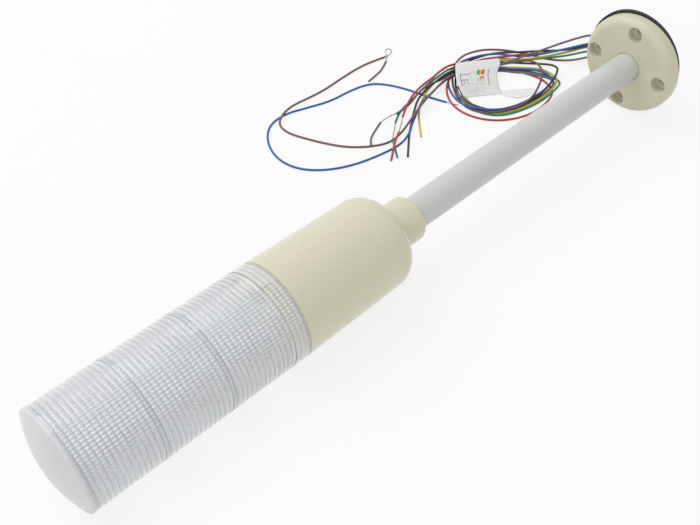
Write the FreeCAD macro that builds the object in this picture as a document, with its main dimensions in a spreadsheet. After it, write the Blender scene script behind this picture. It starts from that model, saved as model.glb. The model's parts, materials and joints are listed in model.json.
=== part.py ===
import FreeCAD, Part
import Sketcher
import math
import os

# A three-tier signal light on a pole: lens stack, moulded body, pole and round foot flange,
# lying on its side with its leads loosely coiled beside it.
# Every piece of the light is drawn upright about the light's own axis, with heights measured
# from the flange's underside, and one placement lays it down.  Millimetres and degrees.

SIZES = {
    # lens stack
    "lens_radius": 30.0, "rib_depth": 0.7, "rib_pitch": 3.0, "ribs_per_tier": 13,
    "tier_length": 41.4, "lens_wall": 1.7, "flute_depth": 0.5, "flute_count": 90,
    "flute_share": 0.83, "flute_over": 0.1, "joint_lip": 2.0, "joint_wall": 0.75, "joint_play": 0.05,
    "joint_bevel": 0.35, "skirt_length": 9.0, "skirt_gap": 0.3, "skirt_play": 0.4,
    "skirt_relief": 1.2, "cap_rise": 7.2, "cap_wall": 2.0, "cap_band": 0.9, "cap_inset": 0.15,
    "cap_corner": 1.3, "cap_lip_wall": 1.7,
    # bayonet between the lens stack and the body
    "lug_count": 3, "lug_angle": 8.0, "lug_height": 3.0, "lug_depth": 1.3, "lug_rise": 3.9,
    "lug_play": 0.3, "slot_run": 22.3, "slot_entry": 11.0, "slot_start": -29.5,
    # body housing
    "body_radius": 30.0, "body_taper": 1.4, "body_length": 84.3, "shoulder_round": 13.0,
    "neck_radius": 14.3, "neck_length": 20.3, "neck_round": 3.6, "neck_root": 1.0,
    "cavity_radius": 25.7, "cavity_round": 8.0, "spigot_radius": 27.9, "spigot_length": 10.4,
    "spigot_bevel": 0.5, "ledge_bore": 21.5, "ledge_height": 6.0, "seat_wall": 1.5,
    "pole_insert": 24.5, "pole_stop": 2.0, "seal_radius": 0.75, "seal_play": 0.15,
    "seal_groove": 1.8, "seal_rise": 0.4,
    # pole and foot
    "pole_radius": 10.05, "pole_wall": 1.5, "pole_play": 0.1, "pole_reach": 212.5,
    "pole_foot": 1.0, "foot_play": 0.3,
    "gasket_thickness": 2.5, "gasket_radius": 34.8, "gasket_bore": 18.0, "gasket_hole": 5.0,
    "gasket_slip": 2.0, "gasket_slip_angle": 55.0, "gasket_play": 0.1,
    "flange_radius": 35.0, "flange_thickness": 10.0, "flange_round": 6.0,
    "flange_bevel": 0.5, "flange_recess": 16.0, "flange_recess_depth": 1.5,
    "bolt_circle": 52.2, "bolt_count": 4, "bolt_radius": 2.4, "bolt_angle": -3.2,
    "counterbore_radius": 5.3, "counterbore_depth": 5.5,
    "grub_radius": 2.0, "grub_play": 0.05, "grub_length": 4.0, "grub_socket": 1.1,
    "grub_socket_depth": 1.8, "bush_length": 8.0, "bush_lip": 1.2, "bush_lip_radius": 9.6,
    "bush_bore": 3.5, "bush_play": 0.05, "harness_radius": 3.2,
    # lamp column
    "plate_thickness": 1.6, "plate_play": 0.3, "stem_radius": 4.0, "stem_bore": 2.8,
    "stem_play": 0.1, "stem_rise": 1.0, "stem_drop": 6.0, "nut_height": 3.0, "nut_width": 13.0,
    "board_radius": 20.0, "board_thickness": 1.6, "led_circle": 14.0, "led_radius": 2.5,
    "led_height": 5.0, "led_count": 6, "reflector_radius": 25.5, "reflector_rim": 1.2,
    "reflector_hub": 6.2, "reflector_wall": 1.4, "reflector_step": 4.2, "reflector_foot": 3.0,
    "reflector_curve": 62.0, "divider_radius": 26.6, "divider_thickness": 2.0,
    "screw_circle": 23.3, "screw_radius": 1.5, "screw_play": 0.05, "screw_head": 2.4,
    "screw_head_height": 1.5, "screw_length": 6.0, "screw_count": 3,
    # driver board in the body
    "driver_width": 37.0, "driver_drop": 58.0, "driver_thickness": 1.6, "driver_offset": 8.2,
    "terminal_width": 30.0, "terminal_depth": 8.0, "terminal_height": 10.0,
    "terminal_ways": 7, "terminal_bore": 1.2, "terminal_rise": 3.0,
    "capacitor_radius": 5.0, "capacitor_length": 12.0, "capacitor_pitch": 14.0,
    "capacitor_rise": 26.0, "relay_width": 26.0, "relay_depth": 8.0, "relay_height": 10.0,
    "relay_rise": 40.0,
    # leads
    "wire_radius": 0.8, "strand_radius": 0.35,
    "coil_side": 48.0, "coil_end": 36.0, "coil_join": 32.4, "coil_band": 12.0,
    "coil_height": 6.5, "coil_round": 2.4, "coil_x": -49.0, "coil_y": 77.0,
    "label_thickness": 0.4, "label_width": 30.0, "label_fold": 12.0, "label_slope": 9.0,
    "label_tail": 12.0, "label_rest": 3.0, "label_x": -44.8, "label_y": 102.3,
    "label_turn": -33.0, "film_length": 20.0, "film_width": 8.5, "film_thickness": 0.2,
}

doc = FreeCAD.newDocument("SignalLight")
sheet = doc.addObject("Spreadsheet::Sheet", "Sizes")
for row, (alias, value) in enumerate(SIZES.items(), start=1):
    sheet.set(f"A{row}", alias)
    sheet.set(f"B{row}", str(value))
    sheet.setAlias(f"B{row}", alias)
doc.recompute()


class Size:
    # A size that knows both its value and the sheet expression that it comes from.
    def __init__(self, value, text):
        self.value = value
        self.text = text

    def __add__(self, other):
        other = size(other)
        return Size(self.value + other.value, f"({self.text} + {other.text})")

    def __sub__(self, other):
        other = size(other)
        return Size(self.value - other.value, f"({self.text} - {other.text})")

    def __mul__(self, other):
        other = size(other)
        return Size(self.value * other.value, f"({self.text} * {other.text})")

    def __truediv__(self, other):
        other = size(other)
        return Size(self.value / other.value, f"({self.text} / {other.text})")

    def __neg__(self):
        return Size(-self.value, f"(0 - {self.text})")


def size(thing):
    if isinstance(thing, Size):
        return thing
    return Size(float(thing), repr(float(thing)))


def sine(angle):
    return Size(math.sin(math.radians(angle.value)), f"sin({angle.text})")


def cosine(angle):
    return Size(math.cos(math.radians(angle.value)), f"cos({angle.text})")


class Sheet:
    # The sheet's cells by name, such as dim.lens_radius.
    def __getattr__(self, alias):
        return Size(float(sheet.get(alias)), f"Sizes.{alias}")


dim = Sheet()
pi = Size(math.pi, "pi")
zero = size(0)
Vector = FreeCAD.Vector

# Heights along the light, from the flange's underside up to the dome.
flange_face = dim.flange_thickness
flange_edge = flange_face - dim.flange_round
pole_end = dim.pole_foot
bush_face = pole_end - dim.bush_lip
neck_end = flange_face + dim.pole_reach
shoulder = neck_end + dim.neck_length
body_top = shoulder + dim.body_length
tier_base = body_top + dim.skirt_length
spigot_top = body_top + dim.spigot_length
plate_seat = spigot_top - dim.plate_thickness
cavity_floor = neck_end + dim.pole_insert + dim.pole_stop
tier_names = ("lower", "middle", "upper")
tier_bases = [tier_base + dim.tier_length * k for k in range(len(tier_names))]
rim = tier_bases[-1] + dim.tier_length

neck_grub_height = neck_end + dim.neck_length / 2
flange_grub_height = dim.flange_thickness / 2

# Radii that several pieces share.
lens_inner = dim.lens_radius - dim.rib_depth - dim.lens_wall
joint_outer = lens_inner + dim.joint_wall
joint_bore = joint_outer + dim.joint_play
skirt_bore = dim.spigot_radius + dim.skirt_play
seat_radius = dim.spigot_radius - dim.seat_wall
pole_bore = dim.pole_radius - dim.pole_wall
neck_bore = dim.pole_radius + dim.pole_play

# Azimuths of the grub screws: under the neck, and between two of the flange's bolt holes.
neck_grub_turn = size(180)
flange_grub_turn = dim.bolt_angle + size(180) - size(180) / dim.bolt_count

# Lying pose: the light rests on its top lens rim and on the flange's edge.
lean = math.atan2(dim.flange_radius.value - dim.lens_radius.value, (rim - flange_edge).value)
lying = FreeCAD.Placement(Vector(), FreeCAD.Rotation(Vector(0, 1, 0), -90 - math.degrees(lean)))
floor = lying.multVec(Vector(-dim.flange_radius.value, 0, flange_edge.value)).z
on_floor = FreeCAD.Placement(Vector(0, 0, floor), FreeCAD.Rotation())


def bind(thing, prop, length):
    length = size(length)
    thing.setExpression(prop, length.text)


def body(label, placement=lying):
    made = doc.addObject("PartDesign::Body", label)
    made.Label = label
    made.Placement = placement
    return made


def plane_of(owner, role):
    return [item for item in owner.Origin.OriginFeatures if item.Role == role][0]


def sketch_on(owner, role, name, height=zero, turn=zero):
    # A sketch on one of the body's planes, turned about the light's axis and then raised.
    made = owner.newObject("Sketcher::SketchObject", name)
    made.AttachmentSupport = [(plane_of(owner, role), "")]
    made.MapMode = "FlatFace"
    height, turn = size(height), size(turn)
    if turn.value:
        swing = FreeCAD.Rotation(Vector(0, 1, 0), turn.value)
        made.AttachmentOffset = FreeCAD.Placement(Vector(), swing)
        bind(made, "AttachmentOffset.Rotation.Angle", turn)
        bind(made, "AttachmentOffset.Base.x", height * sine(turn))
    bind(made, "AttachmentOffset.Base.z", height * cosine(turn))
    return made


def hold(sketch, edge, end, point):
    # Fixes one end of an edge at a point given as two sizes.
    for kind, axis, place in (("DistanceX", -2, point[0]), ("DistanceY", -1, point[1])):
        if abs(place.value) < 1e-9:
            sketch.addConstraint(Sketcher.Constraint("PointOnObject", edge, end, axis))
        else:
            number = sketch.addConstraint(Sketcher.Constraint(kind, edge, end, place.value))
            bind(sketch, f"Constraints[{number}]", place)


def arc_between(start, stop, radius, left):
    # The shorter arc from start to stop, bulging to the right of the chord if left is False.
    chord = stop - start
    half = chord.Length / 2
    reach = math.sqrt(max(radius * radius - half * half, 0.0))
    side = Vector(-chord.y, chord.x, 0).normalize()
    centre = start + chord * 0.5 + side * (reach if left else -reach)
    first, last = (start, stop) if left else (stop, start)
    begin = math.atan2(first.y - centre.y, first.x - centre.x)
    finish = math.atan2(last.y - centre.y, last.x - centre.x)
    circle = Part.Circle(centre, Vector(0, 0, 1), radius)
    return Part.ArcOfCircle(circle, begin, finish)


def outline(sketch, path):
    # A closed outline.  Each step is (x, y) for a straight edge to that point, or
    # (x, y, radius, left) for an arc to it that turns left or right about its centre.
    path = [(size(step[0]), size(step[1])) + tuple(step[2:]) for step in path]
    edges = []
    for before, step in zip([path[-1]] + path[:-1], path):
        start = Vector(before[0].value, before[1].value, 0)
        stop = Vector(step[0].value, step[1].value, 0)
        if len(step) == 2:
            edges.append((sketch.addGeometry(Part.LineSegment(start, stop), False), 1, 2))
        else:
            radius = size(step[2])
            arc = arc_between(start, stop, radius.value, step[3])
            edge = sketch.addGeometry(arc, False)
            number = sketch.addConstraint(Sketcher.Constraint("Radius", edge, radius.value))
            bind(sketch, f"Constraints[{number}]", radius)
            edges.append((edge, 1, 2) if step[3] else (edge, 2, 1))
    for number, (edge, start, stop) in enumerate(edges):
        following, following_start, _ = edges[(number + 1) % len(edges)]
        join = Sketcher.Constraint("Coincident", edge, stop, following, following_start)
        sketch.addConstraint(join)
        hold(sketch, edge, stop, path[number])


def ring(sketch, radius, x=zero, y=zero):
    # A circle of a bound radius at a bound centre.
    radius = size(radius)
    centre = Vector(size(x).value, size(y).value, 0)
    edge = sketch.addGeometry(Part.Circle(centre, Vector(0, 0, 1), radius.value), False)
    number = sketch.addConstraint(Sketcher.Constraint("Radius", edge, radius.value))
    bind(sketch, f"Constraints[{number}]", radius)
    hold(sketch, edge, 3, (size(x), size(y)))


def turned(owner, path, name="Turning", angle=360, turn=zero, cut=False):
    # A revolved feature about the light's axis, from a profile of (radius, height) steps.
    profile = sketch_on(owner, "XZ_Plane", name + "Profile", turn=turn)
    outline(profile, path)
    kind = "PartDesign::Groove" if cut else "PartDesign::Revolution"
    made = owner.newObject(kind, name)
    made.Profile = profile
    made.ReferenceAxis = (profile, ["V_Axis"])
    bind(made, "Angle", angle)
    profile.Visibility = False
    return made


def padded(owner, profile, length, name="Pad", back=False):
    made = owner.newObject("PartDesign::Pad", name)
    made.Profile = profile
    made.Reversed = back
    bind(made, "Length", length)
    return made


def pocket(owner, profile, name, length=None, back=False):
    made = owner.newObject("PartDesign::Pocket", name)
    made.Profile = profile
    made.Reversed = back
    if length is None:
        made.Type = "ThroughAll"
    else:
        bind(made, "Length", length)
    return made


def polar(owner, features, count, name, axis="V_Axis"):
    # Copies features round the light's axis.
    made = owner.newObject("PartDesign::PolarPattern", name)
    made.Originals = features
    made.Axis = (features[0].Profile[0], [axis])
    made.Angle = 360
    bind(made, "Occurrences", count)
    owner.Tip = made
    return made


def spun_beside(owner, path, offset, name):
    # A small turned piece about its own upright axis, standing off the light's axis.
    owner.AllowCompound = True
    profile = sketch_on(owner, "XZ_Plane", name + "Profile")
    outline(profile, [(offset + step[0],) + tuple(step[1:]) for step in path])
    heights = [size(step[1]).value for step in path]
    low = Vector(offset.value, min(heights), 0)
    high = Vector(offset.value, max(heights), 0)
    own_axis = profile.addGeometry(Part.LineSegment(low, high), True)
    profile.addConstraint(Sketcher.Constraint("Vertical", own_axis))
    hold(profile, own_axis, 1, (offset, path[0][1]))
    made = owner.newObject("PartDesign::Revolution", name)
    made.Profile = profile
    made.ReferenceAxis = (profile, ["Axis0"])
    made.Angle = 360
    return made


def sag_radius(half_width, rise):
    # Radius of the arc with this half width and rise.
    return (half_width * half_width + rise * rise) / (rise * 2)


# ---- lens stack ----

def rib_steps(base):
    # Sharp turned ribs up the outside of one tier, between two plain bands.
    band = (dim.tier_length - dim.rib_pitch * dim.ribs_per_tier) / 2
    valley = dim.lens_radius - dim.rib_depth
    steps = [(dim.lens_radius, base + band)]
    for number in range(int(dim.ribs_per_tier.value)):
        start = base + band + dim.rib_pitch * number
        steps.append((valley, start + dim.rib_pitch / 2))
        steps.append((dim.lens_radius, start + dim.rib_pitch))
    return steps


def tier_head(base):
    # The rebate in a tier's upper end, which takes the lip of the piece above.
    top = base + dim.tier_length
    rebate = top - dim.joint_lip - dim.joint_play
    return [(dim.lens_radius, top - dim.joint_bevel), (dim.lens_radius - dim.joint_bevel, top),
            (joint_bore, top), (joint_bore, rebate), (lens_inner, rebate)]


def flutes(owner, start, stop):
    # V flutes down the inside of a tier, all round.
    half = pi * lens_inner / dim.flute_count * dim.flute_share
    foot_half = half * (dim.flute_depth + dim.flute_over) / dim.flute_depth
    profile = sketch_on(owner, "XY_Plane", "FluteProfile", height=start)
    foot = lens_inner - dim.flute_over
    outline(profile, [(foot, -foot_half), (lens_inner + dim.flute_depth, zero),
                      (foot, foot_half)])
    first = pocket(owner, profile, "Flute", stop - start, back=True)
    return polar(owner, [first], dim.flute_count, "Flutes", "N_Axis")


def lens_tier(label, base):
    made = body(label)
    foot = base - dim.joint_lip
    bevel = dim.lens_radius - dim.joint_bevel
    turned(made, [(lens_inner, foot), (joint_outer, foot), (joint_outer, base), (bevel, base),
                  (dim.lens_radius, base + dim.joint_bevel)] + rib_steps(base) + tier_head(base))
    flutes(made, base, base + dim.tier_length - dim.joint_lip - dim.joint_play)
    return made


def skirted_tier(label, base):
    # The lowest tier: its smooth skirt drops over the body's spigot and carries the lugs.
    made = body(label)
    foot = body_top + dim.skirt_gap
    relief = spigot_top + dim.skirt_relief
    bevel = dim.lens_radius - dim.joint_bevel
    turned(made, [(skirt_bore, foot), (bevel, foot), (dim.lens_radius, foot + dim.joint_bevel)]
           + rib_steps(base) + tier_head(base) + [(lens_inner, relief), (skirt_bore, relief)])
    low = body_top + dim.lug_rise
    high = low + dim.lug_height
    tip = skirt_bore - dim.lug_depth
    root = skirt_bore + dim.joint_bevel
    lug = turned(made, [(tip, low), (root, low), (root, high), (tip, high)], "Lug",
                 dim.lug_angle, dim.slot_start + dim.lug_play)
    polar(made, [lug], dim.lug_count, "Lugs")
    flutes(made, relief, base + dim.tier_length - dim.joint_lip - dim.joint_play)
    return made


def top_cap():
    made = body("top_cap")
    edge = dim.lens_radius - dim.cap_inset
    band = rim + dim.cap_band
    brow = edge - dim.cap_corner
    brow_height = band + dim.cap_corner
    crown = band + dim.cap_rise
    inner = joint_outer - dim.cap_lip_wall
    lip = rim - dim.joint_lip
    inner_crown = crown - dim.cap_wall
    dome = sag_radius(brow, crown - brow_height)
    vault = sag_radius(inner, inner_crown - rim)
    turned(made, [(inner, lip), (joint_outer, lip), (joint_outer, rim), (edge, rim), (edge, band),
                  (brow, brow_height, dim.cap_corner, True), (zero, crown, dome, True),
                  (zero, inner_crown), (inner, rim, vault, False)])
    return made


# ---- body housing ----

def body_housing():
    made = body("body_housing")
    foot_radius = dim.body_radius - dim.body_taper
    neck_top = shoulder - dim.neck_root
    ledge_foot = plate_seat - dim.ledge_height
    groove_low = body_top + dim.seal_rise
    groove_high = groove_low + dim.seal_groove
    groove_floor = dim.spigot_radius - dim.seal_radius * 2 + dim.seal_play
    stop_foot = cavity_floor - dim.pole_stop
    turned(made, [
        (neck_bore, neck_end),
        (dim.neck_radius - dim.neck_round, neck_end),
        (dim.neck_radius, neck_end + dim.neck_round, dim.neck_round, True),
        (dim.neck_radius, neck_top),
        (dim.neck_radius + dim.neck_root, shoulder, dim.neck_root, False),
        (foot_radius - dim.shoulder_round, shoulder),
        (foot_radius, shoulder + dim.shoulder_round, dim.shoulder_round, True),
        (dim.body_radius, body_top),
        (dim.spigot_radius, body_top),
        (dim.spigot_radius, groove_low),
        (groove_floor, groove_low),
        (groove_floor, groove_high),
        (dim.spigot_radius, groove_high),
        (dim.spigot_radius, spigot_top - dim.spigot_bevel),
        (dim.spigot_radius - dim.spigot_bevel, spigot_top),
        (seat_radius, spigot_top),
        (seat_radius, plate_seat),
        (dim.ledge_bore, plate_seat),
        (dim.ledge_bore, ledge_foot),
        (dim.cavity_radius, ledge_foot),
        (dim.cavity_radius, cavity_floor + dim.cavity_round),
        (dim.cavity_radius - dim.cavity_round, cavity_floor, dim.cavity_round, False),
        (pole_bore, cavity_floor),
        (pole_bore, stop_foot),
        (neck_bore, stop_foot)])
    # Bayonet slots: a run that the lug turns along and an entry open to the spigot's end.
    low = body_top + dim.lug_rise - dim.lug_play
    high = low + dim.lug_height + dim.lug_play * 2
    slot_floor = skirt_bore - dim.lug_depth - dim.lug_play
    over = dim.spigot_radius + dim.lug_play
    run = turned(made, [(slot_floor, low), (over, low), (over, high), (slot_floor, high)],
                 "SlotRun", dim.slot_run, dim.slot_start, cut=True)
    polar(made, [run], dim.lug_count, "SlotRuns")
    top = spigot_top + dim.lug_play
    entry = turned(made, [(slot_floor, low), (over, low), (over, top), (slot_floor, top)],
                   "SlotEntry", dim.slot_entry, dim.slot_start + dim.slot_run - dim.slot_entry,
                   cut=True)
    polar(made, [entry], dim.lug_count, "SlotEntries")
    screw_holes = sketch_on(made, "XY_Plane", "ScrewHole", height=plate_seat)
    ring(screw_holes, dim.screw_radius + dim.screw_play, dim.screw_circle, zero)
    hole = pocket(made, screw_holes, "ScrewPilot", dim.screw_length)
    polar(made, [hole], dim.screw_count, "ScrewPilots", "N_Axis")
    grub_hole(made, neck_grub_height, dim.neck_radius, neck_grub_turn)
    return made


def grub_hole(owner, height, reach, turn):
    # A radial hole from the outside down to the pole.
    profile = sketch_on(owner, "YZ_Plane", "GrubHoleProfile", turn=turn)
    ring(profile, dim.grub_radius + dim.grub_play, zero, height)
    return pocket(owner, profile, "GrubHole", reach, back=True)


def grub_screw(label, height, turn):
    # A socket set screw whose tip bears on the pole.
    made = body(label)
    start = dim.pole_radius + dim.grub_play
    shank = sketch_on(made, "YZ_Plane", "Shank", height=start, turn=turn)
    ring(shank, dim.grub_radius, zero, height)
    padded(made, shank, dim.grub_length)
    end = start + dim.grub_length
    socket = sketch_on(made, "YZ_Plane", "Socket", height=end, turn=turn)
    corners = []
    for number in range(6):
        angle = math.radians(60 * number)
        corners.append((dim.grub_socket * math.sin(angle),
                        height + dim.grub_socket * math.cos(angle)))
    outline(socket, corners)
    pocket(made, socket, "HexSocket", dim.grub_socket_depth)
    return made


def lens_seal():
    # Silicone O-ring at the foot of the spigot.
    made = body("lens_seal")
    centre = dim.spigot_radius - dim.seal_radius + dim.seal_play
    middle = body_top + dim.seal_rise + dim.seal_groove / 2
    profile = sketch_on(made, "XZ_Plane", "Section")
    ring(profile, dim.seal_radius, centre, middle)
    hoop = made.newObject("PartDesign::Revolution", "Hoop")
    hoop.Profile = profile
    hoop.ReferenceAxis = (profile, ["V_Axis"])
    hoop.Angle = 360
    return made


# ---- pole and foot ----

def pole():
    made = body("pole")
    top = cavity_floor - dim.pole_stop
    turned(made, [(pole_bore, pole_end), (dim.pole_radius, pole_end), (dim.pole_radius, top),
                  (pole_bore, top)])
    return made


def cable_bush():
    made = body("cable_bush")
    outer = pole_bore - dim.bush_play
    turned(made, [(dim.bush_bore, bush_face), (dim.bush_lip_radius, bush_face),
                  (dim.bush_lip_radius, pole_end), (outer, pole_end),
                  (outer, pole_end + dim.bush_length), (dim.bush_bore, pole_end + dim.bush_length)])
    return made


def flange():
    made = body("flange")
    bore = dim.pole_radius + dim.foot_play
    turned(made, [
        (dim.flange_recess, zero),
        (dim.flange_radius - dim.flange_bevel, zero),
        (dim.flange_radius, dim.flange_bevel),
        (dim.flange_radius, flange_edge),
        (dim.flange_radius - dim.flange_round, flange_face, dim.flange_round, True),
        (bore, flange_face),
        (bore, dim.flange_recess_depth),
        (dim.flange_recess, dim.flange_recess_depth)])
    doc.recompute()
    centre = sketch_on(made, "XY_Plane", "BoltCentre", height=flange_face)
    ring(centre, dim.bolt_radius, dim.bolt_circle / 2, zero)
    bind(centre, "AttachmentOffset.Rotation.Angle", dim.bolt_angle)
    doc.recompute()
    hole = made.newObject("PartDesign::Hole", "BoltHole")
    hole.Profile = centre
    hole.Threaded = False
    hole.DepthType = "ThroughAll"
    bind(hole, "Diameter", dim.bolt_radius * 2)
    hole.HoleCutType = "Counterbore"
    hole.HoleCutCustomValues = True
    bind(hole, "HoleCutDiameter", dim.counterbore_radius * 2)
    bind(hole, "HoleCutDepth", dim.counterbore_depth)
    polar(made, [hole], dim.bolt_count, "BoltHoles", "N_Axis")
    grub_hole(made, flange_grub_height, dim.flange_radius, flange_grub_turn)
    return made


def gasket():
    # Rubber washer that has slipped a little off centre behind the flange.
    slip = math.radians(dim.gasket_slip_angle.value)
    offset = Vector(math.cos(slip), math.sin(slip), 0) * dim.gasket_slip.value
    made = body("gasket", lying.multiply(FreeCAD.Placement(offset, FreeCAD.Rotation())))
    seat = -dim.gasket_play
    back = seat - dim.gasket_thickness
    turned(made, [(dim.gasket_bore, back), (dim.gasket_radius, back), (dim.gasket_radius, seat),
                  (dim.gasket_bore, seat)])
    profile = sketch_on(made, "XY_Plane", "HoleCentre")
    ring(profile, dim.gasket_hole, dim.bolt_circle / 2, zero)
    bind(profile, "AttachmentOffset.Rotation.Angle", dim.bolt_angle)
    hole = pocket(made, profile, "Hole")
    polar(made, [hole], dim.bolt_count, "Holes", "N_Axis")
    return made


# ---- lamp column ----

stem_hole = dim.stem_radius + dim.stem_play
board_bases = [spigot_top + dim.tier_length * k for k in range(len(tier_names))]
reflector_height = dim.tier_length - dim.board_thickness - dim.divider_thickness
column_top = board_bases[-1] + dim.board_thickness + reflector_height


def disc(label, inner, outer, low, thickness):
    made = body(label)
    high = low + thickness
    turned(made, [(inner, low), (outer, low), (outer, high), (inner, high)])
    return made


def chassis_plate():
    made = disc("chassis_plate", stem_hole, seat_radius - dim.plate_play, plate_seat,
                dim.plate_thickness)
    profile = sketch_on(made, "XY_Plane", "ScrewHole", height=plate_seat)
    ring(profile, dim.screw_radius + dim.screw_play, dim.screw_circle, zero)
    hole = pocket(made, profile, "ScrewClearance", dim.plate_thickness, back=True)
    polar(made, [hole], dim.screw_count, "ScrewClearances", "N_Axis")
    return made


def chassis_screws():
    made = body("chassis_screws")
    tip = spigot_top - dim.screw_length
    top = spigot_top + dim.screw_head_height
    screw = spun_beside(made, [(zero, tip), (dim.screw_radius, tip),
                               (dim.screw_radius, spigot_top), (dim.screw_head, spigot_top),
                               (dim.screw_head, top), (zero, top)], dim.screw_circle, "Screw")
    polar(made, [screw], dim.screw_count, "Screws")
    return made


def stem_tube():
    made = body("stem_tube")
    low = plate_seat - dim.stem_drop
    high = column_top + dim.nut_height + dim.stem_rise
    turned(made, [(dim.stem_bore, low), (dim.stem_radius, low), (dim.stem_radius, high),
                  (dim.stem_bore, high)])
    return made


def stem_nut(label, low):
    made = body(label)
    profile = sketch_on(made, "XY_Plane", "Hexagon", height=low)
    corner = dim.nut_width / math.sqrt(3)
    corners = []
    for number in range(6):
        angle = math.radians(60 * number)
        corners.append((corner * math.cos(angle), corner * math.sin(angle)))
    outline(profile, corners)
    ring(profile, stem_hole)
    padded(made, profile, dim.nut_height)
    return made


def led_group(label, low):
    made = body(label)
    shoulder_height = low + dim.led_height - dim.led_radius
    led = spun_beside(made, [(zero, low), (dim.led_radius, low),
                             (dim.led_radius, shoulder_height),
                             (zero, low + dim.led_height, dim.led_radius, True)],
                      dim.led_circle, "Led")
    polar(made, [led], dim.led_count, "Leds")
    return made


def reflector(label, low):
    # A white funnel whose curved flank turns the light of the board below outwards.
    made = body(label)
    high = low + reflector_height
    rim_foot = high - dim.reflector_rim
    hub_top = low + dim.reflector_foot
    well = hub_top + dim.reflector_step
    flank = dim.reflector_radius - dim.reflector_wall
    turned(made, [(stem_hole, low), (dim.reflector_hub, low), (dim.reflector_hub, hub_top),
                  (dim.reflector_radius, rim_foot, dim.reflector_curve, False),
                  (dim.reflector_radius, high), (flank, high), (flank, rim_foot),
                  (dim.reflector_hub, well, dim.reflector_curve, True),
                  (stem_hole, well)])
    return made


# ---- driver board ----

board_top = plate_seat
board_foot = board_top - dim.driver_drop
board_face = dim.driver_offset + dim.driver_thickness
terminal_foot = board_foot + dim.terminal_rise


def block(owner, name, half_width, low, high, start, depth):
    # A rectangular block standing off the plane of the driver board.
    profile = sketch_on(owner, "YZ_Plane", name + "Profile", height=start)
    outline(profile, [(-half_width, low), (half_width, low), (half_width, high),
                      (-half_width, high)])
    return padded(owner, profile, depth, name)


def driver_board():
    made = body("driver_board")
    block(made, "Board", dim.driver_width / 2, board_foot, board_top, dim.driver_offset,
          dim.driver_thickness)
    return made


def terminal_block():
    made = body("terminal_block")
    block(made, "Block", dim.terminal_width / 2, terminal_foot,
          terminal_foot + dim.terminal_height, board_face, dim.terminal_depth)
    pitch = dim.terminal_width / dim.terminal_ways
    ways = sketch_on(made, "XY_Plane", "WayCentre", height=terminal_foot)
    ring(ways, dim.terminal_bore, board_face + dim.terminal_depth / 2,
         (pitch - dim.terminal_width) / 2)
    way = pocket(made, ways, "Way", dim.terminal_height / 2, back=True)
    row = made.newObject("PartDesign::LinearPattern", "Ways")
    row.Originals = [way]
    row.Direction = (ways, ["V_Axis"])
    bind(row, "Length", dim.terminal_width - pitch)
    bind(row, "Occurrences", dim.terminal_ways)
    made.Tip = row
    return made


def driver_parts():
    # Two smoothing capacitors and the regulator block on the board's face.
    made = body("driver_parts")
    made.AllowCompound = True
    cans = sketch_on(made, "YZ_Plane", "CanCentres", height=board_face)
    for side in (-1, 1):
        ring(cans, dim.capacitor_radius, dim.capacitor_pitch / 2 * side,
             board_foot + dim.capacitor_rise)
    padded(made, cans, dim.capacitor_length, "Cans")
    low = board_foot + dim.relay_rise
    block(made, "Regulator", dim.relay_width / 2, low, low + dim.relay_height, board_face,
          dim.relay_depth)
    return made


def inner_harness():
    # The seven leads as one bundle, from the terminal block down the pole to its foot.
    made = body("inner_harness")
    bend = board_foot - cavity_floor
    shift = board_face + dim.terminal_depth / 2
    lift = terminal_foot - bend
    radius = (bend * bend + shift * shift) / (shift * 4)
    route = sketch_on(made, "XZ_Plane", "Route")
    start = Vector(0, bush_face.value, 0)
    low = Vector(0, lift.value, 0)
    middle = Vector(shift.value / 2, (lift + bend / 2).value, 0)
    high = Vector(shift.value, terminal_foot.value, 0)
    straight = route.addGeometry(Part.LineSegment(start, low), False)
    out = route.addGeometry(arc_between(low, middle, radius.value, False), False)
    back = route.addGeometry(arc_between(middle, high, radius.value, True), False)
    route.addConstraint(Sketcher.Constraint("Coincident", straight, 2, out, 2))
    route.addConstraint(Sketcher.Constraint("Coincident", out, 1, back, 1))
    hold(route, straight, 1, (zero, bush_face))
    hold(route, straight, 2, (zero, lift))
    hold(route, out, 1, (shift / 2, lift + bend / 2))
    hold(route, back, 2, (shift, terminal_foot))
    for edge in (out, back):
        number = route.addConstraint(Sketcher.Constraint("Radius", edge, radius.value))
        bind(route, f"Constraints[{number}]", radius)
    section = sketch_on(made, "XY_Plane", "Section", height=bush_face)
    ring(section, dim.harness_radius)
    made_pipe = made.newObject("PartDesign::AdditivePipe", "Bundle")
    made_pipe.Profile = section
    made_pipe.Spine = route
    return made


# ---- leads ----

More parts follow.
